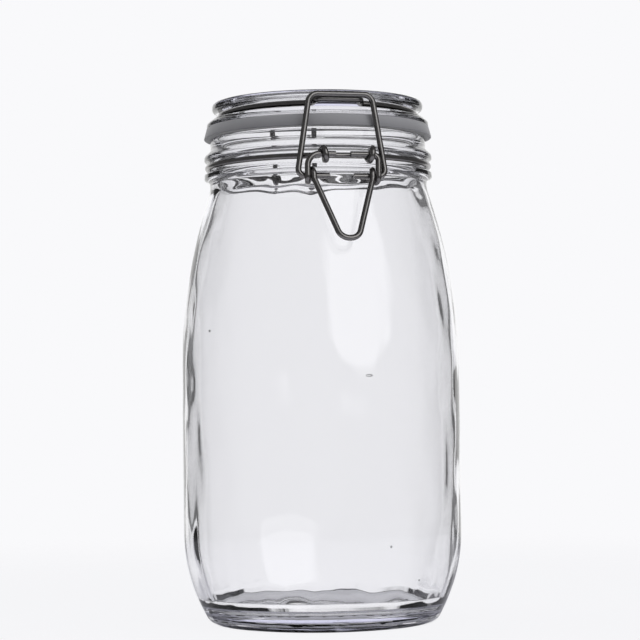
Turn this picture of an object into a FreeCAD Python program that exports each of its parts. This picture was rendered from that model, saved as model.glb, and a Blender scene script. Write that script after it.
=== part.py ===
import FreeCAD, Part
import math
import os

from FreeCAD import Vector

# A clip-top jar: a glass jar and a glass lid with a ring gasket, held by a bent-wire clip at the
# front (-Y) and a wire hinge at the back (+Y). Millimetres, +Z up, the origin on the jar's axis
# in the plane that it stands on.

# Jar body
rim_height = 201.8          # standing plane to the top of the mouth
body_radius = 58.0
foot_taper = 11.1           # side's foot inside the body, where it would meet the standing plane
foot_ring = 8.9             # width of the standing ring
push_up = 5.0               # rise of the underside at its centre
side_start = 38.0           # the side stands upright from here
side_end = 105.0            # to here, where the shoulder begins
wall = 4.0
base_thickness = 9.0        # floor above the standing plane at the wall
floor_rise = 3.0            # further rise of the floor at its centre
floor_inset = 1.4           # edge of the floor inside the foot
heel_round = 5.5
floor_round = 9.0

# Neck and mouth, with heights taken down from the rim
neck_drop = 19.3            # where the shoulder has turned upright into the neck
neck_step = 0.4             # neck outside the mouth
neck_round = 14.0
groove_drop = 12.0          # middle of the neck groove
groove_room = 1.55          # half-round groove larger than its wire
bead_step = 2.6             # the two beads that border the groove, outside the mouth
lower_bead_height = 2.2
upper_bead_height = 1.8
bead_slope = 1.4            # height of the slope below the lower bead
mouth_slope = 2.3           # height of the slope above the upper bead
mouth_radius = 45.2
mouth_wall = 4.0
bead_round = 0.7
rim_round = 1.2

# Gasket
seat_gap = 0.1              # air between the rim and the gasket
gasket_thickness = 4.8
gasket_overhang = 2.7       # gasket's foot outside the mouth
gasket_taper = 1.3          # gasket's top inside its foot
gasket_fit = 0.2            # gasket over the lid's plug
gasket_round = 0.5

# Lid, with heights taken up from the gasket's top
flange_height = 1.4
flange_slope = 1.9          # height of the slope from the flange in to the slot
lip_step = 2.3              # slot's lip, and the top band, inside the flange
slot_room = 0.45            # slot above and below its wire
slot_depth = 4.75
band_height = 3.6
band_width = 8.3
band_round = 1.5
top_recess_depth = 1.2
plug_room = 1.2             # plug inside the mouth's bore
plug_depth = 3.8
plug_wall = 5.0
cavity_height = 4.4         # lid's hollow above the gasket's top
lid_round = 1.0

# Wire, clip and hinge
wire_radius = 1.2
wire_seat = 0.05            # wire off the floor of its groove
pin_fit = 0.1               # wire in a wire eye, all round
turn_gap = 0.1              # between neighbouring turns of one coil
clip_play = 1.9             # clip slid this far to the left along its pin
corner_inside = 1.4         # inside radius of a usual corner in the wire
eye_inside = 0.3            # of the bends that lead into an eye
groove_inside = 0.1         # of the bends out of the groove

eye_spacing = 19.12         # between the two eyes of the neck wire
eye_slant = 1.0             # slip of an eye along X from its top to its foot
eye_lead = 1.3              # run between a groove bend and an eye

coil_tuck = 0.9             # lever's coils drawn in beside the middle of the neck
arm_room = 0.14             # lever's arm beside an eye that the clip has slid against
coil_room = 1.1             # lever's coil below an eye
left_arm_inside = 3.6       # inside radius of the corner on the side where the arm stands clear
lever_pin_gap = 6.2         # between the two ends of the lever's pin
lever_length = 34.1         # lever's pin down to the tip of the thumb loop
lever_lean = 9.6            # tip of the thumb loop stands this far out from the pin
thumb_half_width = 3.55
thumb_bend = 4.6

bail_foot_room = 1.25       # bail's leg beside the lever's coil
bail_top_room = 1.0         # bail's leg beside the end of the catch
bail_pin_gap = 10.0         # between the two inner ends of the bail
bail_top_bend = 4.0

catch_half_width = 9.4
catch_room = 0.4            # catch bar in front of the slot's lip
catch_rise = 1.0            # catch bar above the lid's slot
catch_lead = 2.4            # run between the hoop and a corner
latch_angle = 38.0          # bail bar above the level of the catch bar, seen from it
latch_gap = 0.15

hinge_tuck = 0.1            # coils drawn in beside the middle of the bead
hinge_eye_half_width = 10.0
hinge_bar_end = 0.7         # straight bar left outside each coil

# Radii that follow from these
foot_radius = body_radius - foot_taper
foot_inner_radius = foot_radius - foot_ring
inner_foot_radius = foot_radius - floor_inset
bore_radius = mouth_radius - mouth_wall
neck_radius = mouth_radius + neck_step
bead_radius = mouth_radius + bead_step
groove_radius = wire_radius + groove_room
groove_floor_radius = bead_radius - groove_radius
plug_radius = bore_radius - plug_room
gasket_bottom_radius = mouth_radius + gasket_overhang
gasket_top_radius = gasket_bottom_radius - gasket_taper
flange_radius = gasket_top_radius
slot_lip_radius = flange_radius - lip_step
slot_floor_radius = slot_lip_radius - slot_depth
top_recess_radius = slot_lip_radius - band_width
neck_ring_radius = groove_floor_radius + wire_seat + wire_radius
hoop_radius = slot_floor_radius + wire_seat + wire_radius

# Heights that follow
groove_height = rim_height - groove_drop
neck_height = rim_height - neck_drop
gasket_bottom = rim_height + seat_gap
gasket_top = gasket_bottom + gasket_thickness
slot_bottom = gasket_top + flange_height + flange_slope
slot_top = slot_bottom + 2 * (wire_radius + slot_room)
lid_top = slot_top + band_height
hoop_height = (slot_bottom + slot_top) / 2

# Bends, eyes and coils
corner_bend = wire_radius + corner_inside
eye_bend = wire_radius + eye_inside
groove_bend = wire_radius + groove_inside
left_arm_bend = wire_radius + left_arm_inside
eye_radius = 2 * wire_radius + pin_fit
turn_pitch = 2 * wire_radius + turn_gap

# Places in the clip and the hinge
pin_offset = neck_radius + 2 * eye_radius + wire_radius - coil_tuck
pivot_offset = pin_offset - eye_radius
pivot_height = groove_height - 2 * (eye_radius + wire_radius) - coil_room
lever_half_width = (eye_spacing + eye_slant) / 2 + 2 * wire_radius + arm_room + clip_play
bail_foot_half_width = lever_half_width + 2 * wire_radius + bail_foot_room
bail_top_half_width = catch_half_width + 2 * wire_radius + bail_top_room
catch_reach = slot_lip_radius + wire_radius + catch_room
catch_height = hoop_height + catch_rise
latch_distance = 2 * wire_radius + latch_gap
bail_bar_offset = catch_reach + latch_distance * math.cos(math.radians(latch_angle))
bail_bar_height = catch_height + latch_distance * math.sin(math.radians(latch_angle))
hinge_offset = bead_radius + eye_radius + wire_radius - hinge_tuck
hinge_half_width = hinge_eye_half_width + wire_radius + corner_bend + hinge_bar_end

up = Vector(0, 0, 1)
right = Vector(1, 0, 0)
forward = Vector(0, -1, 0)
backward = Vector(0, 1, 0)


class Outline:
    """A half section in the X-Z plane, drawn edge by edge and turned about Z."""

    def __init__(self, x, z):
        self.start = Vector(x, 0, z)
        self.here = self.start
        self.edges = []

    def line(self, x, z):
        end = Vector(x, 0, z)
        self.edges.append(Part.LineSegment(self.here, end).toShape())
        self.here = end

    def arc(self, x_on, z_on, x, z):
        end = Vector(x, 0, z)
        self.edges.append(Part.Arc(self.here, Vector(x_on, 0, z_on), end).toShape())
        self.here = end

    def bow(self, x, z, along, at_start=True):
        """An arc to (x, z) that runs along the given direction where it starts, or where it ends."""
        end = Vector(x, 0, z)
        chord = end - self.here
        tangent = along if along.dot(chord) > 0 else along * -1
        half_sweep = tangent.getAngle(chord)
        aside = (tangent - chord * (tangent.dot(chord) / chord.Length ** 2)).normalize()
        bulge = chord.Length / 2 * math.tan(half_sweep / 2) * (1 if at_start else -1)
        on_arc = (self.here + end) * 0.5 + aside * bulge
        self.arc(on_arc.x, on_arc.z, x, z)

    def turned(self):
        self.line(self.start.x, self.start.z)
        face = Part.Face(Part.Wire(self.edges))
        return face.revolve(Vector(0, 0, 0), Vector(0, 0, 1), 360)


def round_rings(solid, rings):
    """Round the circular edges at each (radius, height) with the given fillet."""
    for radius, height, fillet in rings:
        edges = [edge for edge in solid.Edges
                 if not edge.Degenerated and isinstance(edge.Curve, Part.Circle)
                 and abs(edge.Curve.Radius - radius) < 0.01
                 and abs(edge.Curve.Center.z - height) < 0.01]
        solid = solid.makeFillet(fillet, edges)
    return solid


def shoulder_meeting(wide, narrow):
    """Where the two arcs of a shoulder meet, when it stands upright at both its ends."""
    turn = 2 * math.atan2(wide - narrow, neck_height - side_end)
    return narrow + neck_round * (1 - math.cos(turn)), neck_height - neck_round * math.sin(turn)


def glass_jar():
    lower_bead_top = groove_height - groove_radius
    lower_bead_bottom = lower_bead_top - lower_bead_height
    upper_bead_bottom = groove_height + groove_radius
    upper_bead_top = upper_bead_bottom + upper_bead_height

    outline = Outline(0, push_up)
    outline.bow(foot_inner_radius, 0, right)
    outline.line(foot_radius, 0)
    outline.bow(body_radius, side_start, up, at_start=False)
    outline.line(body_radius, side_end)
    outline.bow(*shoulder_meeting(body_radius, neck_radius), up)
    outline.bow(neck_radius, neck_height, up, at_start=False)
    outline.line(neck_radius, lower_bead_bottom - bead_slope)
    outline.line(bead_radius, lower_bead_bottom)
    outline.line(bead_radius, lower_bead_top)
    outline.arc(groove_floor_radius, groove_height, bead_radius, upper_bead_bottom)
    outline.line(bead_radius, upper_bead_top)
    outline.line(mouth_radius, upper_bead_top + mouth_slope)
    outline.line(mouth_radius, rim_height)
    outline.line(bore_radius, rim_height)
    outline.line(bore_radius, neck_height)
    outline.bow(*shoulder_meeting(body_radius - wall, bore_radius), up)
    outline.bow(body_radius - wall, side_end, up, at_start=False)
    outline.line(body_radius - wall, side_start)
    outline.bow(inner_foot_radius, base_thickness, up)
    outline.bow(0, base_thickness + floor_rise, right, at_start=False)
    return round_rings(outline.turned(), [
        (foot_radius, 0, heel_round),
        (bead_radius, lower_bead_bottom, bead_round),
        (bead_radius, lower_bead_top, bead_round),
        (bead_radius, upper_bead_bottom, bead_round),
        (bead_radius, upper_bead_top, bead_round),
        (mouth_radius, rim_height, rim_round),
        (bore_radius, rim_height, rim_round),
        (inner_foot_radius, base_thickness, floor_round),
    ])


def gasket():
    inner_radius = plug_radius + gasket_fit
    outline = Outline(inner_radius, gasket_bottom)
    outline.line(gasket_bottom_radius, gasket_bottom)
    outline.line(gasket_top_radius, gasket_top)
    outline.line(inner_radius, gasket_top)
    return round_rings(outline.turned(), [(gasket_bottom_radius, gasket_bottom, gasket_round)])


def glass_lid():
    flange_top = gasket_top + flange_height
    plug_bottom = gasket_top - plug_depth
    cavity_radius = plug_radius - plug_wall
    cavity_top = gasket_top + cavity_height

    outline = Outline(0, cavity_top)
    outline.line(cavity_radius, cavity_top)
    outline.line(cavity_radius, plug_bottom)
    outline.line(plug_radius, plug_bottom)
    outline.line(plug_radius, gasket_top)
    outline.line(flange_radius, gasket_top)
    outline.line(flange_radius, flange_top)
    outline.line(slot_lip_radius, slot_bottom)
    outline.line(slot_floor_radius, slot_bottom)
    outline.line(slot_floor_radius, slot_top)
    outline.line(slot_lip_radius, slot_top)
    outline.line(slot_lip_radius, lid_top)
    outline.line(top_recess_radius, lid_top)
    outline.line(top_recess_radius, lid_top - top_recess_depth)
    outline.line(0, lid_top - top_recess_depth)
    return round_rings(outline.turned(), [
        (cavity_radius, cavity_top, lid_round),
        (plug_radius, plug_bottom, lid_round),
        (slot_lip_radius, slot_top, band_round),
        (slot_lip_radius, lid_top, band_round),
        (top_recess_radius, lid_top, lid_round),
    ])


def bent(points, bends):
    """Straight runs through the points, joined by a tangent arc at every corner.

    Returns the edges, where a bend is the radius of the wire's middle line at that corner.
    """
    edges = []
    here = points[0]
    for before, corner, after, radius in zip(points, points[1:], points[2:], bends):
        into = (corner - before).normalize()
        out = (after - corner).normalize()
        turn = into.getAngle(out)
        reach = radius * math.tan(turn / 2)
        inward = (out - into).normalize()
        arc_start = corner - into * reach
        arc_end = corner + out * reach
        arc_middle = corner + inward * (radius / math.cos(turn / 2) - radius)
        if here.distanceToPoint(arc_start) > 1e-6:
            edges.append(Part.LineSegment(here, arc_start).toShape())
        edges.append(Part.Arc(arc_start, arc_middle, arc_end).toShape())
        here = arc_end
    edges.append(Part.LineSegment(here, points[-1]).toShape())
    return edges


def half_turn(start, end, through):
    """Half a turn of a coil from start to end, bulging towards the given direction."""
    middle = (start + end) * 0.5
    radius = start.distanceToPoint(end) / 2
    return Part.Arc(start, middle + through * radius, end).toShape()


def wire_along(edges):
    """Round wire swept along a smooth path."""
    path = Part.Wire(edges)
    first = path.Edges[0]
    tangent = first.tangentAt(first.FirstParameter)
    section = Part.Wire(Part.Circle(first.valueAt(first.FirstParameter), tangent, wire_radius).toShape())
    sweep = Part.BRepOffsetAPI.MakePipeShell(path)
    sweep.add(section)
    sweep.build()
    sweep.makeSolid()
    return sweep.shape()


def mirrored(solid):
    return solid.mirror(Vector(0, 0, 0), Vector(1, 0, 0))


def both_sides(half):
    """A wire made of one half and its mirror image across the Y-Z plane."""
    return half.fuse(mirrored(half)).removeSplitter()


def groove_exit(radius, x, lead, side):
    """A ring's point near x on one side of the jar, and the corner where its tangent reaches x."""
    y = math.sqrt(radius ** 2 - (x + lead) ** 2)
    leave = right * (x + lead) + side * y
    corner = right * x + side * (y + lead * (x + lead) / y)
    return leave, corner


def neck_wire():
    """Ring in the neck groove, with an eye on each side in front and the hinge bar behind.

    Seen from the side an eye rises from the groove, passes over the lever's pin, down in front
    of it and under it, and goes back into the groove.
    """
    level = up * groove_height
    eye_x = eye_spacing / 2
    outer_x = eye_x + turn_pitch / 2
    inner_x = eye_x - turn_pitch / 2
    top = Vector(eye_x + eye_slant / 2, -pin_offset, groove_height + eye_radius)
    foot = Vector(eye_x - eye_slant / 2, -pin_offset, groove_height - eye_radius)

    bar_y = -neck_ring_radius
    rise_y = -pin_offset + eye_radius + eye_lead
    front_bar = [Vector(0, bar_y, 0) + level,
                 Vector(inner_x, bar_y, 0) + level,
                 Vector(inner_x, rise_y, 0) + level,
                 foot + backward * eye_lead,
                 foot]
    leave, corner = groove_exit(neck_ring_radius, outer_x, corner_bend, forward)
    back_leave, back_corner = groove_exit(neck_ring_radius, hinge_half_width, corner_bend, backward)
    ring_lead = [top,
                 top + backward * eye_lead,
                 Vector(outer_x, rise_y, 0) + level,
                 corner + level,
                 leave + level]
    edges = bent(front_bar, [groove_bend, eye_bend, eye_bend])
    edges.append(half_turn(foot, top, forward))
    edges += bent(ring_lead, [eye_bend, eye_bend, groove_bend])
    edges.append(Part.Arc(leave + level, right * neck_ring_radius + level, back_leave + level).toShape())
    edges += bent([back_leave + level,
                   back_corner + level,
                   Vector(hinge_half_width, hinge_offset, 0) + level,
                   Vector(0, hinge_offset, 0) + level], [groove_bend, corner_bend])
    return both_sides(wire_along(edges))


def lid_wire_half(catch_shift):
    """From the middle of the catch round the lid's slot to the coil on the hinge bar."""
    level = up * hoop_height
    leave, corner = groove_exit(hoop_radius, catch_half_width + catch_shift, catch_lead, forward)
    back_leave, back_corner = groove_exit(hoop_radius, hinge_eye_half_width, catch_lead, backward)
    edges = bent([Vector(catch_shift, -catch_reach, catch_height),
                  Vector(catch_half_width + catch_shift, -catch_reach, catch_height),
                  corner + level,
                  leave + level], [corner_bend, corner_bend])
    edges.append(Part.Arc(leave + level, right * hoop_radius + level, back_leave + level).toShape())

    near_y = hinge_offset - eye_radius
    far_y = hinge_offset + eye_radius
    coil_x = [hinge_eye_half_width - turn_pitch * half / 2 for half in range(3)]
    near = Vector(coil_x[0], near_y, groove_height)
    far = Vector(coil_x[1], far_y, groove_height)
    near_again = Vector(coil_x[2], near_y, groove_height)
    edges += bent([back_leave + level,
                   back_corner + level,
                   Vector(hinge_eye_half_width, near_y, hoop_height),
                   near], [corner_bend, corner_bend])
    edges.append(half_turn(near, far, up * -1))
    edges.append(half_turn(far, near_again, up))
    return wire_along(edges)


def lid_wire():
    """Hoop in the lid's slot, with the catch in front and a coil at each end on the hinge bar."""
    right_half = lid_wire_half(-clip_play)
    left_half = mirrored(lid_wire_half(clip_play))
    return right_half.fuse(left_half).removeSplitter()


def lever_half(arm_bend):
    """From an end of the pin over the arm's corner, round the bail's foot and down to the tip."""
    coil_x = [lever_half_width - turn_pitch * half / 2 for half in range(3)]
    front = Vector(coil_x[0], -pin_offset, pivot_height)
    back = Vector(coil_x[1], -pivot_offset + eye_radius, pivot_height)
    front_again = Vector(coil_x[2], -pin_offset, pivot_height)
    tip_y = -pin_offset - lever_lean
    tip_height = groove_height - lever_length

    edges = bent([Vector(lever_pin_gap / 2, -pin_offset, groove_height),
                  Vector(lever_half_width, -pin_offset, groove_height),
                  front], [arm_bend])
    edges.append(half_turn(front, back, up * -1))
    edges.append(half_turn(back, front_again, up))
    edges += bent([front_again,
                   front_again - up * wire_radius,
                   Vector(thumb_half_width, tip_y, tip_height),
                   Vector(0, tip_y, tip_height)], [corner_bend, thumb_bend])
    return wire_along(edges)


def lever():
    """Pin ends in the eyes, a coil round each end of the bail, and the thumb loop below."""
    solid = lever_half(corner_bend).fuse(mirrored(lever_half(left_arm_bend))).removeSplitter()
    solid.translate(Vector(-clip_play, 0, 0))
    return solid


def bail():
    """Loop that pulls the lid down, turning in the lever's coils and hooked on the catch."""
    edges = bent([Vector(bail_pin_gap / 2, -pivot_offset, pivot_height),
                  Vector(bail_foot_half_width, -pivot_offset, pivot_height),
                  Vector(bail_top_half_width, -bail_bar_offset, bail_bar_height),
                  Vector(0, -bail_bar_offset, bail_bar_height)], [corner_bend, bail_top_bend])
    solid = both_sides(wire_along(edges))
    solid.translate(Vector(-clip_play, 0, 0))
    return solid


os.makedirs("parts", exist_ok=True)
for make in (glass_jar, glass_lid, gasket, neck_wire, lid_wire, lever, bail):
    shape = make()
    shape.exportStep(f"parts/{make.__name__}.step")
    box = shape.BoundBox
    print(f"{make.__name__}: {len(shape.Solids)} solid, valid {shape.isValid()}, "
          f"volume {shape.Volume:.1f}, {box.XLength:.2f} x {box.YLength:.2f} x {box.ZLength:.2f}")
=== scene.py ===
import math

import bmesh
import bpy
from mathutils import Matrix, Vector, noise


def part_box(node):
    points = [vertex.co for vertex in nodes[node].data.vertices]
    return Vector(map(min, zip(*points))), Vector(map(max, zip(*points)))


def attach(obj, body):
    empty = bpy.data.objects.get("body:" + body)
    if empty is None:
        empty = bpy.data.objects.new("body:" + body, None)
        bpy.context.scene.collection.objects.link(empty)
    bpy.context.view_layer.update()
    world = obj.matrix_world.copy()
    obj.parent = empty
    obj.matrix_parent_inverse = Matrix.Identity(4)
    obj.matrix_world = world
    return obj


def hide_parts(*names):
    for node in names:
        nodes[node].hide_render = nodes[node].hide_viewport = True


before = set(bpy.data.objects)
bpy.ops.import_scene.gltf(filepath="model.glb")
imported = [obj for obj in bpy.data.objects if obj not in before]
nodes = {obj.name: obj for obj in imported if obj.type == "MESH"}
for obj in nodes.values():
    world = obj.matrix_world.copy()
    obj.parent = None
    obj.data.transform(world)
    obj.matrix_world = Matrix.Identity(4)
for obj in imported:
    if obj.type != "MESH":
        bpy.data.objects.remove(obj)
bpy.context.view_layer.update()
mm = 0.001


def hexColour(text):
    # sRGB hex to linear
    channels = [int(text[i:i + 2], 16) / 255 for i in (1, 3, 5)]
    linear = [c / 12.92 if c <= 0.04045 else ((c + 0.055) / 1.055) ** 2.4 for c in channels]
    return (*linear, 1.0)


def addNode(tree, kind, settings=None, inputs=None, links=None):
    node = tree.nodes.new(kind)
    for key, value in (settings or {}).items():
        setattr(node, key, value)
    for key, value in (inputs or {}).items():
        node.inputs[key].default_value = value
    for key, source in (links or {}).items():
        tree.links.new(source, node.inputs[key])
    return node


def newMaterial(name):
    material = bpy.data.materials.new(name)
    material.use_nodes = True
    material.node_tree.nodes.clear()
    return material, material.node_tree


def finishPiece(bm, name, material, body):
    mesh = bpy.data.meshes.new(name)
    bm.to_mesh(mesh)
    bm.free()
    for face in mesh.polygons:
        face.use_smooth = True
    mesh.materials.append(material)
    piece = bpy.data.objects.new(name, mesh)
    bpy.context.scene.collection.objects.link(piece)
    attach(piece, body)
    return piece


glass = {"tint": "#E2E2F6", "density": 14.0, "index": 1.5}


def sodaLimeGlass(name):
    # press-and-blow soda-lime glass: clear, fire-polished, a trace of grey-lilac in the thick edges;
    # its skin flows in soft streaks about 18 mm wide and three times as long
    material, tree = newMaterial(name)
    coords = addNode(tree, "ShaderNodeTexCoord")
    streaks = addNode(tree, "ShaderNodeMapping", inputs={"Scale": (1.0, 1.0, 0.35)},
                      links={"Vector": coords.outputs["Object"]})
    flow = addNode(tree, "ShaderNodeTexNoise", inputs={"Scale": 55.0, "Detail": 2.0, "Roughness": 0.4},
                   links={"Vector": streaks.outputs["Vector"]})
    bump = addNode(tree, "ShaderNodeBump", inputs={"Strength": 0.12, "Distance": 0.0006},
                   links={"Height": flow.outputs["Fac"]})
    shader = addNode(tree, "ShaderNodeBsdfPrincipled",
                     inputs={"Base Color": hexColour("#FFFFFF"), "Roughness": 0.0, "IOR": glass["index"],
                             "Transmission Weight": 1.0},
                     links={"Normal": bump.outputs["Normal"]})
    depth = addNode(tree, "ShaderNodeVolumeAbsorption",
                    inputs={"Color": hexColour(glass["tint"]), "Density": glass["density"]})
    addNode(tree, "ShaderNodeOutputMaterial",
            links={"Surface": shader.outputs["BSDF"], "Volume": depth.outputs["Volume"]})
    return material


def gasketRubber():
    # moulded grey natural rubber: matt, mottled in spots of about 7 mm; paler towards its top face, which is
    # painted light
    material, tree = newMaterial("mouldedGreyRubber")
    coords = addNode(tree, "ShaderNodeTexCoord")
    mottle = addNode(tree, "ShaderNodeTexNoise", inputs={"Scale": 140.0, "Detail": 5.0},
                     links={"Vector": coords.outputs["Object"]})
    colour = addNode(tree, "ShaderNodeMix", settings={"data_type": "RGBA"},
                     inputs={"A": hexColour("#6F6F73"), "B": hexColour("#7F7F83")},
                     links={"Factor": mottle.outputs["Fac"]})
    split = addNode(tree, "ShaderNodeSeparateXYZ", links={"Vector": coords.outputs["Object"]})
    # painted light: from the ring's bottom to its top face the colour is mixed towards a paler grey
    low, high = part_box("gasket")
    paintedTopLight = addNode(tree, "ShaderNodeMapRange", inputs={"From Min": low.z, "From Max": high.z},
                    links={"Value": split.outputs["Z"]})
    faded = addNode(tree, "ShaderNodeMix", settings={"data_type": "RGBA"},
                    inputs={"B": hexColour("#96969A")},
                    links={"Factor": paintedTopLight.outputs["Result"], "A": colour.outputs["Result"]})
    grain = addNode(tree, "ShaderNodeBump", inputs={"Strength": 0.25, "Distance": 0.0002},
                    links={"Height": mottle.outputs["Fac"]})
    shader = addNode(tree, "ShaderNodeBsdfPrincipled",
                     inputs={"Roughness": 0.55, "IOR": 1.5, "Sheen Weight": 0.6, "Sheen Roughness": 0.4},
                     links={"Base Color": faded.outputs["Result"], "Normal": grain.outputs["Normal"]})
    addNode(tree, "ShaderNodeOutputMaterial", links={"Surface": shader.outputs["BSDF"]})
    return material


def drawnSteel():
    # drawn stainless spring wire, 2.4 mm: dark bright-drawn skin with fine marks about 1 mm long
    material, tree = newMaterial("drawnStainlessWire")
    coords = addNode(tree, "ShaderNodeTexCoord")
    marks = addNode(tree, "ShaderNodeTexNoise", inputs={"Scale": 900.0, "Detail": 3.0},
                    links={"Vector": coords.outputs["Object"]})
    colour = addNode(tree, "ShaderNodeMix", settings={"data_type": "RGBA"},
                     inputs={"A": hexColour("#7D7B7B"), "B": hexColour("#989695")},
                     links={"Factor": marks.outputs["Fac"]})
    rough = addNode(tree, "ShaderNodeMapRange", inputs={"To Min": 0.16, "To Max": 0.28},
                    links={"Value": marks.outputs["Fac"]})
    shader = addNode(tree, "ShaderNodeBsdfPrincipled", inputs={"Metallic": 1.0},
                     links={"Base Color": colour.outputs["Result"], "Roughness": rough.outputs["Result"]})
    addNode(tree, "ShaderNodeOutputMaterial", links={"Surface": shader.outputs["BSDF"]})
    return material


jarGlassMaterial = sodaLimeGlass("blownSodaLimeGlass")
lidGlassMaterial = sodaLimeGlass("pressedSodaLimeGlass")
rubberMaterial = gasketRubber()
steelMaterial = drawnSteel()


def straight(start, end, step=4.0):
    # points up to end, no further apart than step
    count = max(1, math.ceil(math.dist(start, end) / step))
    return [(start[0] + (end[0] - start[0]) * i / count, start[1] + (end[1] - start[1]) * i / count)
            for i in range(1, count + 1)]


def bow(start, end, uprightAtStart, steps):
    # points on the arc up to end that stands upright at one of its ends
    upright, other = (start, end) if uprightAtStart else (end, start)
    run = other[0] - upright[0]
    rise = other[1] - upright[1]
    radius = (run ** 2 + rise ** 2) / (2 * run)
    full = math.atan2(abs(rise), abs(radius) - abs(run))
    points = [(upright[0] + radius * (1 - math.cos(full * i / steps)),
               upright[1] + math.copysign(abs(radius) * math.sin(full * i / steps), rise))
              for i in range(steps + 1)]
    return points[1:] if uprightAtStart else points[::-1][1:]


def turned(profile, rounds, segments):
    # profile points (radius, height) in mm, spun about Z; rounds are (radius, height, offset)
    bm = bmesh.new()
    verts = [bm.verts.new((r * mm, 0, z * mm)) for r, z in profile]
    edges = [bm.edges.new(pair) for pair in zip(verts, verts[1:])]
    bmesh.ops.spin(bm, geom=verts + edges, axis=(0, 0, 1), cent=(0, 0, 0),
                   angle=2 * math.pi, steps=segments, use_merge=True)
    bmesh.ops.remove_doubles(bm, verts=bm.verts, dist=1e-6)
    bmesh.ops.recalc_face_normals(bm, faces=bm.faces)
    for radius, height, offset in rounds:
        ring = [edge for edge in bm.edges
                if all(abs(v.co.z - height * mm) < 2e-6 and abs(v.co.xy.length - radius * mm) < 2e-6
                       for v in edge.verts)]
        bmesh.ops.bevel(bm, geom=ring, offset=offset * mm, affect="EDGES", segments=5,
                        profile=0.5, material=-1)
    return bm


# in mm: the rim is 0.1 under the ring, the side 0.03 inside the solid's; a wave's shape is its length
# across, its length along and a seed
jar = {
    "rim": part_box("gasket")[0].z / mm - 0.1, "body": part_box("glass_jar")[1].x / mm - 0.03, "wall": 4.0,
    "foot": 46.9, "footInner": 38.0, "pushUp": 4.2, "step": 29.5, "stepTop": 3.4, "stepRun": 1.6,
    "stepFoot": 1.9, "sideStart": 38.0, "sideEnd": 105.0, "floor": 6.2, "floorRise": 1.9,
    "innerFoot": 45.5, "innerSideStart": 46.0, "neckDrop": 19.3, "neckRound": 14.0, "neck": 45.6,
    "grooveDrop": 12.0, "groove": 2.75, "bead": 47.8, "lowerBead": 2.2, "upperBead": 1.8,
    "beadSlope": 1.4, "mouthSlope": 2.3, "mouth": 45.2, "mouthWall": 4.0,
    "stepRound": 0.7, "footRound": 3.0, "beadRound": 0.4, "grooveRound": 0.5, "rimRound": 1.1,
    "floorRound": 3.6, "segments": 192, "underSteps": 8, "grooveSteps": 12, "floorSteps": 14,
    "insideWaves": 0.42, "insideShape": (15, 38, 3.1), "fineShare": 0.45, "fineShape": (7, 20, 8.4),
    "insideEase": 12, "insideDepth": 2.0, "insideBelow": 0.5,
    "neckWaves": 0.5, "neckShape": (13, 8, 2.3), "neckWavesDrop": 7, "neckWavesReach": 5,
    "floorWaves": 0.22, "floorShape": (9, 14, 5.2), "floorUpShape": (11, 11, 1.7), "floorReach": 22,
    "outsideWaves": 0.12, "outsideShape": (13, 44, 6.6),
    "footWaves": 0.3, "footShape": (9, 9, 4.4), "footReach": 30,
    "underShape": (8, 8, 9.1), "underTop": 3, "underStand": 0.2,
}


# azimuth in degrees from the clip, height, radius, then half sizes around, up and through, in mm
seeds = [(6.2, 101.7, 56.0, 1.5, 0.5, 0.4), (15.0, 34.1, 55.6, 0.45, 0.5, 0.35),
         (31.7, 20.2, 52.4, 0.45, 0.4, 0.35), (-65.6, 120.6, 55.4, 0.7, 0.45, 0.4),
         (1.5, 5.4, 21.5, 2.6, 0.8, 1.6)]


def shoulderMeeting(wide, narrow):
    # the two arcs of a shoulder that stands upright at both its ends meet here
    j = jar
    top = j["rim"] - j["neckDrop"]
    turn = 2 * math.atan2(wide - narrow, top - j["sideEnd"])
    return narrow + j["neckRound"] * (1 - math.cos(turn)), top - j["neckRound"] * math.sin(turn)


def waves(point, across, along, seed):
    # soft noise with its bumps this long in mm, from -1 to 1
    x, y, z = point / mm
    return noise.noise(Vector((x / across + seed, y / across - seed, z / along + seed * 0.7)))


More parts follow.
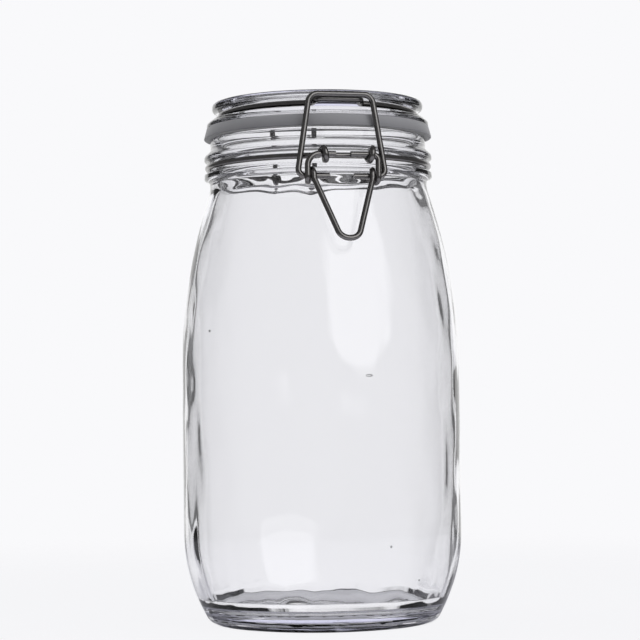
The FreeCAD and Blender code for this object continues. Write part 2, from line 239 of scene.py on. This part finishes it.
def makeJar():
    j = jar
    groove = j["rim"] - j["grooveDrop"]
    neckTop = j["rim"] - j["neckDrop"]
    beadLow = groove - j["groove"] - j["lowerBead"]
    beadTop = groove + j["groove"] + j["upperBead"]
    bore = j["mouth"] - j["mouthWall"]
    inner = j["body"] - j["wall"]

    n = j["underSteps"]
    profile = [(j["step"] * i / n, j["pushUp"] - (j["pushUp"] - j["stepTop"]) * (i / n) ** 2)
               for i in range(n + 1)]
    profile += [(j["step"] + j["stepRun"], j["stepFoot"])]
    profile += straight(profile[-1], (j["footInner"], 0), step=2.0)
    profile += straight(profile[-1], (j["foot"], 0))
    profile += bow(profile[-1], (j["body"], j["sideStart"]), False, steps=14)
    profile += straight(profile[-1], (j["body"], j["sideEnd"]))
    profile += bow(profile[-1], shoulderMeeting(j["body"], j["neck"]), True, steps=20)
    profile += bow(profile[-1], (j["neck"], neckTop), False, steps=5)
    profile += [(j["neck"], beadLow - j["beadSlope"]), (j["bead"], beadLow)]
    n = j["grooveSteps"]
    profile += [(j["bead"] - j["groove"] * math.sin(math.pi * i / n),
                 groove - j["groove"] * math.cos(math.pi * i / n)) for i in range(n + 1)]
    profile += [(j["bead"], beadTop), (j["mouth"], beadTop + j["mouthSlope"]), (j["mouth"], j["rim"]),
                (bore, j["rim"])]
    profile += straight(profile[-1], (bore, neckTop))
    profile += bow(profile[-1], shoulderMeeting(inner, bore), True, steps=5)
    profile += bow(profile[-1], (inner, j["sideEnd"]), False, steps=20)
    profile += straight(profile[-1], (inner, j["innerSideStart"]))
    profile += bow(profile[-1], (j["innerFoot"], j["floor"]), True, steps=12)
    n = j["floorSteps"]
    profile += [(j["innerFoot"] * (1 - i / n), j["floor"] + j["floorRise"] * (1 - (1 - i / n) ** 2))
                for i in range(1, n + 1)]
    rounds = [(j["step"], j["stepTop"], j["stepRound"]), (j["foot"], 0, j["footRound"]),
              (j["bead"], beadLow, j["beadRound"]), (j["bead"], groove - j["groove"], j["grooveRound"]),
              (j["bead"], groove + j["groove"], j["grooveRound"]), (j["bead"], beadTop, j["beadRound"]),
              (j["mouth"], j["rim"], j["rimRound"]), (bore, j["rim"], j["rimRound"]),
              (j["innerFoot"], j["floor"], j["floorRound"])]
    bm = turned(profile, rounds, j["segments"])

    # the skin of blown glass is never quite even: long soft waves run up the wall and pool in the floor
    for v in bm.verts:
        radius = v.co.xy.length
        height = v.co.z / mm
        if radius < 1e-6 or height > neckTop:
            continue
        outer = outerRadius(height)
        within = outer - radius / mm > j["insideDepth"] and height > j["floor"] - j["insideBelow"]
        if within:
            ease = min(1.0, (neckTop - height) / j["insideEase"])
            push = (waves(v.co, *j["insideShape"])
                    + j["fineShare"] * waves(v.co, *j["fineShape"])) * j["insideWaves"] * ease
            near = (neckTop - j["neckWavesDrop"] - height) / j["neckWavesReach"]
            push += waves(v.co, *j["neckShape"]) * j["neckWaves"] * math.exp(-near ** 2)
            low = max(0.0, 1 - (height - j["floor"]) / j["floorReach"])
            push += waves(v.co, *j["floorShape"]) * j["floorWaves"] * low
            v.co.z += waves(v.co, *j["floorUpShape"]) * j["floorWaves"] * low * mm
        elif height > j["underTop"]:
            push = -abs(waves(v.co, *j["outsideShape"])) * j["outsideWaves"]
            push -= abs(waves(v.co, *j["footShape"])) * j["footWaves"] * max(0.0, 1 - height / j["footReach"])
        else:
            if height > j["underStand"]:
                v.co.z += waves(v.co, *j["underShape"]) * j["footWaves"] * mm
            continue
        v.co.x += v.co.x / radius * push * mm
        v.co.y += v.co.y / radius * push * mm
    bmesh.ops.recalc_face_normals(bm, faces=bm.faces)
    for azimuth, height, radius, around, upward, thick in seeds:
        # a seed is a little gas bubble shut in the glass, drawn out by the blowing
        turn = math.radians(azimuth)
        centre = (radius * mm * math.sin(turn), -radius * mm * math.cos(turn), height * mm)
        shape = (Matrix.Translation(centre) @ Matrix.Rotation(turn, 4, "Z")
                 @ Matrix.Diagonal((around * mm, thick * mm, upward * mm, 1)))
        bubble = bmesh.ops.create_icosphere(bm, subdivisions=2, radius=1.0, matrix=shape)
        bmesh.ops.reverse_faces(bm, faces=list({face for v in bubble["verts"] for face in v.link_faces}))
    piece = finishPiece(bm, "jarGlass", jarGlassMaterial, "jar")
    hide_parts("glass_jar")
    print("jar glass", len(piece.data.polygons))
    return piece


def outerRadius(height):
    # outside of the wall at this height, below the neck
    j = jar
    if height < j["sideStart"]:
        run, rise = j["body"] - j["foot"], j["sideStart"]
        radius = (run ** 2 + rise ** 2) / (2 * run)
        return j["body"] - radius + math.sqrt(radius ** 2 - (rise - height) ** 2)
    if height > j["sideEnd"]:
        x, z = shoulderMeeting(j["body"], j["neck"])
        run, rise = j["body"] - x, z - j["sideEnd"]
        radius = (run ** 2 + rise ** 2) / (2 * run)
        return j["body"] - radius + math.sqrt(radius ** 2 - min(height - j["sideEnd"], rise) ** 2)
    return j["body"]


lid = {
    "flange": 46.6, "flangeHeight": 1.4, "flangeSlope": 1.9, "lip": 44.3, "slot": 3.3, "slotFloor": 39.55,
    "recess": 36.0, "recessDepth": 1.2, "plug": 40.0, "plugDepth": 3.8, "plugWall": 5.0,
    "cavity": 4.4, "cavityRound": 1.0, "plugInnerRound": 0.8, "plugRound": 0.9, "seatRound": 0.3,
    "flangeRound": 0.4, "slotFloorRound": 0.6, "slotLipRound": 1.3, "topRound": 1.4, "recessRound": 0.9,
    "recessFloorRound": 1.0, "segments": 144,
}


def makeLid():
    d = lid
    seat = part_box("gasket")[1].z / mm
    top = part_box("glass_lid")[1].z / mm
    slotLow = seat + d["flangeHeight"] + d["flangeSlope"]
    slotTop = slotLow + d["slot"]
    cavityRadius = d["plug"] - d["plugWall"]
    cavityTop = seat + d["cavity"]
    floor = top - d["recessDepth"]
    profile = [(0, cavityTop), (cavityRadius, cavityTop), (cavityRadius, seat - d["plugDepth"]),
               (d["plug"], seat - d["plugDepth"]), (d["plug"], seat), (d["flange"], seat),
               (d["flange"], seat + d["flangeHeight"]), (d["lip"], slotLow), (d["slotFloor"], slotLow),
               (d["slotFloor"], slotTop), (d["lip"], slotTop), (d["lip"], top), (d["recess"], top),
               (d["recess"], floor), (0, floor)]
    rounds = [(cavityRadius, cavityTop, d["cavityRound"]),
              (cavityRadius, seat - d["plugDepth"], d["plugInnerRound"]),
              (d["plug"], seat - d["plugDepth"], d["plugRound"]), (d["flange"], seat, d["seatRound"]),
              (d["flange"], seat + d["flangeHeight"], d["flangeRound"]),
              (d["lip"], slotLow, d["flangeRound"]),
              (d["slotFloor"], slotLow, d["slotFloorRound"]), (d["slotFloor"], slotTop, d["slotFloorRound"]),
              (d["lip"], slotTop, d["slotLipRound"]), (d["lip"], top, d["topRound"]),
              (d["recess"], top, d["recessRound"]), (d["recess"], floor, d["recessFloorRound"])]
    bm = turned(profile, rounds, d["segments"])
    bmesh.ops.recalc_face_normals(bm, faces=bm.faces)
    piece = finishPiece(bm, "lidGlass", lidGlassMaterial, "lid")
    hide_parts("glass_lid")
    print("lid glass", len(piece.data.polygons))
    return piece


ring = {"inner": 40.2, "bottom": 47.9, "top": 46.6, "round": 0.45, "segments": 144}


def makeGasket():
    low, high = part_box("gasket")
    z0, z1 = low.z / mm, high.z / mm
    profile = [(ring["inner"], z0), (ring["bottom"], z0), (ring["top"], z1), (ring["inner"], z1),
               (ring["inner"], z0)]
    rounds = [(ring["bottom"], z0, ring["round"]), (ring["top"], z1, ring["round"])]
    bm = turned(profile, rounds, ring["segments"])
    bmesh.ops.recalc_face_normals(bm, faces=bm.faces)
    piece = finishPiece(bm, "gasketRing", rubberMaterial, "lid")
    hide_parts("gasket")
    print("gasket", len(piece.data.polygons))
    return piece


makeJar()
makeLid()
makeGasket()
for name in ("neck_wire", "lid_wire", "lever", "bail"):
    nodes[name].data.materials.clear()
    nodes[name].data.materials.append(steelMaterial)
print("wires dressed")


studio = {
    "cameraDistance": 0.871, "cameraTurn": 13.5, "cameraHeight": 0.0924, "lens": 116.7,
    "tilt": 2.2, "roll": 0.75,
    "paper": "#F9F9FB", "floorPaper": "#E4E4EC",
    "floorFade": (0.25, 0.59), "floorFadeBehind": (0.07, 0.17), "floorShare": 0.93, "floorUnder": 0.24,
    "ceilingAt": (30, 48), "ceiling": 0.16,
    "sweepWidth": 33, "sweepFoot": -60, "sweepTop": 35, "sweepEdges": (2.5, 5), "room": 0.13, "fill": 0.5,
    "umbrellaAzimuth": (7, 62), "umbrellaElevation": (0.9, 46), "umbrellaEdges": (4, 1.2),
    "umbrellaRound": 7, "umbrella": 1.38, "lampAim": 0.11,
}


def makeCamera():
    s = studio
    turn = math.radians(s["cameraTurn"])
    place = Vector((-math.sin(turn), -math.cos(turn), 0)) * s["cameraDistance"]
    place.z = s["cameraHeight"]
    data = bpy.data.cameras.new("camera")
    data.lens = s["lens"]
    data.sensor_width = 36
    data.clip_end = 100
    camera = bpy.data.objects.new("camera", data)
    turnMatrix = (Matrix.Rotation(-turn, 4, "Z") @ Matrix.Rotation(math.radians(90 + s["tilt"]), 4, "X")
                  @ Matrix.Rotation(math.radians(-s["roll"]), 4, "Z"))
    camera.matrix_world = Matrix.Translation(place) @ turnMatrix
    bpy.context.scene.collection.objects.link(camera)
    bpy.context.scene.camera = camera


def window(tree, value, low, high, edge):
    # 1 between two angles in degrees, with soft edges this wide
    rising = addNode(tree, "ShaderNodeMapRange", settings={"interpolation_type": "SMOOTHSTEP"},
                     inputs={"From Min": math.radians(low - edge), "From Max": math.radians(low + edge)},
                     links={"Value": value})
    falling = addNode(tree, "ShaderNodeMapRange", settings={"interpolation_type": "SMOOTHSTEP"},
                      inputs={"From Min": math.radians(high - edge), "From Max": math.radians(high + edge),
                              "To Min": 1.0, "To Max": 0.0}, links={"Value": value})
    both = addNode(tree, "ShaderNodeMath", settings={"operation": "MULTIPLY"},
                   links={0: rising.outputs["Result"], 1: falling.outputs["Result"]})
    return both.outputs[0]


def makeWorld():
    # the camera sees flat white paper, and so does a look straight through the glass, up to a dim ceiling;
    # anything mirrored on the way sees a dark room instead, with a sheet of the paper behind the jar and
    # one big umbrella to the right; matt surfaces get an even fill
    s = studio
    world = bpy.data.worlds.new("paperSweep")
    bpy.context.scene.world = world
    world.use_nodes = True
    tree = world.node_tree
    tree.nodes.clear()
    path = addNode(tree, "ShaderNodeLightPath")
    coords = addNode(tree, "ShaderNodeTexCoord")
    sides = addNode(tree, "ShaderNodeVectorRotate", settings={"rotation_type": "Z_AXIS"},
                    inputs={"Angle": math.radians(s["cameraTurn"])},
                    links={"Vector": coords.outputs["Generated"]})
    split = addNode(tree, "ShaderNodeSeparateXYZ", links={"Vector": sides.outputs["Vector"]})
    rise = addNode(tree, "ShaderNodeMath", settings={"operation": "ARCSINE"}, links={0: split.outputs["Z"]})
    behind = addNode(tree, "ShaderNodeMath", settings={"operation": "ARCTAN2"},
                     links={0: split.outputs["X"], 1: split.outputs["Y"]})
    forward = addNode(tree, "ShaderNodeMath", settings={"operation": "MULTIPLY"}, inputs={1: -1.0},
                      links={0: split.outputs["Y"]})
    before = addNode(tree, "ShaderNodeMath", settings={"operation": "ARCTAN2"},
                     links={0: split.outputs["X"], 1: forward.outputs[0]})

    overhead = addNode(tree, "ShaderNodeMapRange", settings={"interpolation_type": "SMOOTHSTEP"},
                       inputs={"From Min": math.radians(s["ceilingAt"][0]),
                               "From Max": math.radians(s["ceilingAt"][1]),
                               "To Min": 1.0, "To Max": s["ceiling"]}, links={"Value": rise.outputs[0]})
    through = addNode(tree, "ShaderNodeBackground", inputs={"Color": hexColour(s["paper"])},
                      links={"Strength": overhead.outputs["Result"]})

    width, edges = s["sweepWidth"], s["sweepEdges"]
    sweep = addNode(tree, "ShaderNodeMath", settings={"operation": "MULTIPLY"},
                    links={0: window(tree, behind.outputs[0], -width, width, edges[0]),
                           1: window(tree, rise.outputs[0], s["sweepFoot"], s["sweepTop"], edges[1])})
    left, right = s["umbrellaAzimuth"]
    edges = s["umbrellaEdges"]
    across = addNode(tree, "ShaderNodeMapRange", settings={"clamp": False},
                     inputs={"From Min": math.radians(left), "From Max": math.radians(right),
                             "To Min": -1.0, "To Max": 1.0}, links={"Value": before.outputs[0]})
    squared = addNode(tree, "ShaderNodeMath", settings={"operation": "MULTIPLY"},
                      links={0: across.outputs["Result"], 1: across.outputs["Result"]})
    rounded = addNode(tree, "ShaderNodeMath", settings={"operation": "MULTIPLY_ADD"},
                      inputs={1: -math.radians(s["umbrellaRound"])},
                      links={0: squared.outputs[0], 2: rise.outputs[0]})
    umbrella = addNode(tree, "ShaderNodeMath", settings={"operation": "MULTIPLY"},
                       links={0: window(tree, before.outputs[0], left, right, edges[0]),
                              1: window(tree, rounded.outputs[0], *s["umbrellaElevation"], edges[1])})
    shine = addNode(tree, "ShaderNodeMath", settings={"operation": "MULTIPLY_ADD"},
                    inputs={1: s["umbrella"]}, links={0: umbrella.outputs[0], 2: sweep.outputs[0]})
    roomLight = addNode(tree, "ShaderNodeMath", settings={"operation": "MAXIMUM"}, inputs={1: s["room"]},
                        links={0: shine.outputs[0]})
    room = addNode(tree, "ShaderNodeBackground", inputs={"Color": hexColour("#FFFFFF")},
                   links={"Strength": roomLight.outputs[0]})
    fill = addNode(tree, "ShaderNodeBackground",
                   inputs={"Color": hexColour("#FFFFFF"), "Strength": s["fill"]})
    seen = addNode(tree, "ShaderNodeBackground", inputs={"Color": hexColour(s["paper"])})

    clear = addNode(tree, "ShaderNodeMixShader", links={0: path.outputs["Is Transmission Ray"],
                                                        1: fill.outputs[0], 2: through.outputs[0]})
    reflected = addNode(tree, "ShaderNodeMath", settings={"operation": "MINIMUM"}, inputs={1: 1.0},
                        links={0: path.outputs["Glossy Depth"]})
    matt = addNode(tree, "ShaderNodeMath", settings={"operation": "SUBTRACT"},
                   links={0: reflected.outputs[0], 1: path.outputs["Is Diffuse Ray"]})
    bounced = addNode(tree, "ShaderNodeMixShader", links={0: matt.outputs[0], 1: clear.outputs[0],
                                                          2: room.outputs[0]})
    looked = addNode(tree, "ShaderNodeMixShader", links={0: path.outputs["Is Camera Ray"],
                                                         1: bounced.outputs[0], 2: seen.outputs[0]})
    addNode(tree, "ShaderNodeOutputWorld", links={"Surface": looked.outputs[0]})


def makeFloor():
    bm = bmesh.new()
    bmesh.ops.create_circle(bm, cap_ends=True, radius=studio["floorFade"][1], segments=96)
    mesh = bpy.data.meshes.new("floorPaper")
    bm.to_mesh(mesh)
    bm.free()
    # matt paper that keeps the shadow: mostly flat white to the camera, lit paper through the glass, and
    # it fades into the sweep, sooner where it is seen through the glass
    material, tree = newMaterial("matPaper")
    path = addNode(tree, "ShaderNodeLightPath")
    coords = addNode(tree, "ShaderNodeTexCoord")
    far = addNode(tree, "ShaderNodeVectorMath", settings={"operation": "LENGTH"},
                  links={0: coords.outputs["Object"]})
    lit = addNode(tree, "ShaderNodeBsdfDiffuse", inputs={"Color": hexColour(studio["floorPaper"])})
    white = addNode(tree, "ShaderNodeEmission", inputs={"Color": hexColour(studio["paper"])})
    under = addNode(tree, "ShaderNodeMath", settings={"operation": "MULTIPLY"},
                    inputs={1: studio["floorUnder"]}, links={0: path.outputs["Is Transmission Ray"]})
    share = addNode(tree, "ShaderNodeMath", settings={"operation": "MULTIPLY_ADD"},
                    inputs={1: studio["floorShare"]},
                    links={0: path.outputs["Is Camera Ray"], 2: under.outputs[0]})
    mixed = addNode(tree, "ShaderNodeMixShader", links={0: share.outputs[0], 1: lit.outputs[0],
                                                        2: white.outputs[0]})
    clear = addNode(tree, "ShaderNodeBsdfTransparent")
    fades = [addNode(tree, "ShaderNodeMapRange", settings={"interpolation_type": "SMOOTHSTEP"},
                     inputs={"From Min": start, "From Max": end}, links={"Value": far.outputs["Value"]})
             for start, end in (studio["floorFade"], studio["floorFadeBehind"])]
    fade = addNode(tree, "ShaderNodeMix", links={"Factor": path.outputs["Is Transmission Ray"],
                                                 "A": fades[0].outputs["Result"],
                                                 "B": fades[1].outputs["Result"]})
    faded = addNode(tree, "ShaderNodeMixShader", links={0: fade.outputs["Result"], 1: mixed.outputs[0],
                                                        2: clear.outputs[0]})
    addNode(tree, "ShaderNodeOutputMaterial", links={"Surface": faded.outputs[0]})
    mesh.materials.append(material)
    floor = bpy.data.objects.new("floorPaper", mesh)
    bpy.context.scene.collection.objects.link(floor)


def softbox(name, azimuth, elevation, distance, width, height, watts):
    # angles in degrees, azimuth from the camera's side of the jar and positive to the right; sizes in m
    data = bpy.data.lights.new(name, "AREA")
    data.shape = "ELLIPSE"
    data.size = width
    data.size_y = height
    data.energy = watts
    lamp = bpy.data.objects.new(name, data)
    lamp.visible_glossy = False
    lamp.visible_transmission = False
    a = math.radians(azimuth - studio["cameraTurn"])
    e = math.radians(elevation)
    target = Vector((0, 0, studio["lampAim"]))
    place = target + Vector((math.sin(a) * math.cos(e), -math.cos(a) * math.cos(e), math.sin(e))) * distance
    facing = (place - target).to_track_quat("Z", "Y").to_matrix().to_4x4()
    lamp.matrix_world = Matrix.Translation(place) @ facing
    bpy.context.scene.collection.objects.link(lamp)


makeCamera()
makeWorld()
makeFloor()
softbox("umbrellaRight", azimuth=38, elevation=23, distance=0.9, width=0.95, height=0.85, watts=3.2)
softbox("umbrellaLeft", azimuth=-115, elevation=40, distance=1.1, width=0.6, height=0.6, watts=1.5)
bpy.context.scene.view_settings.view_transform = "Standard"
print("studio built")
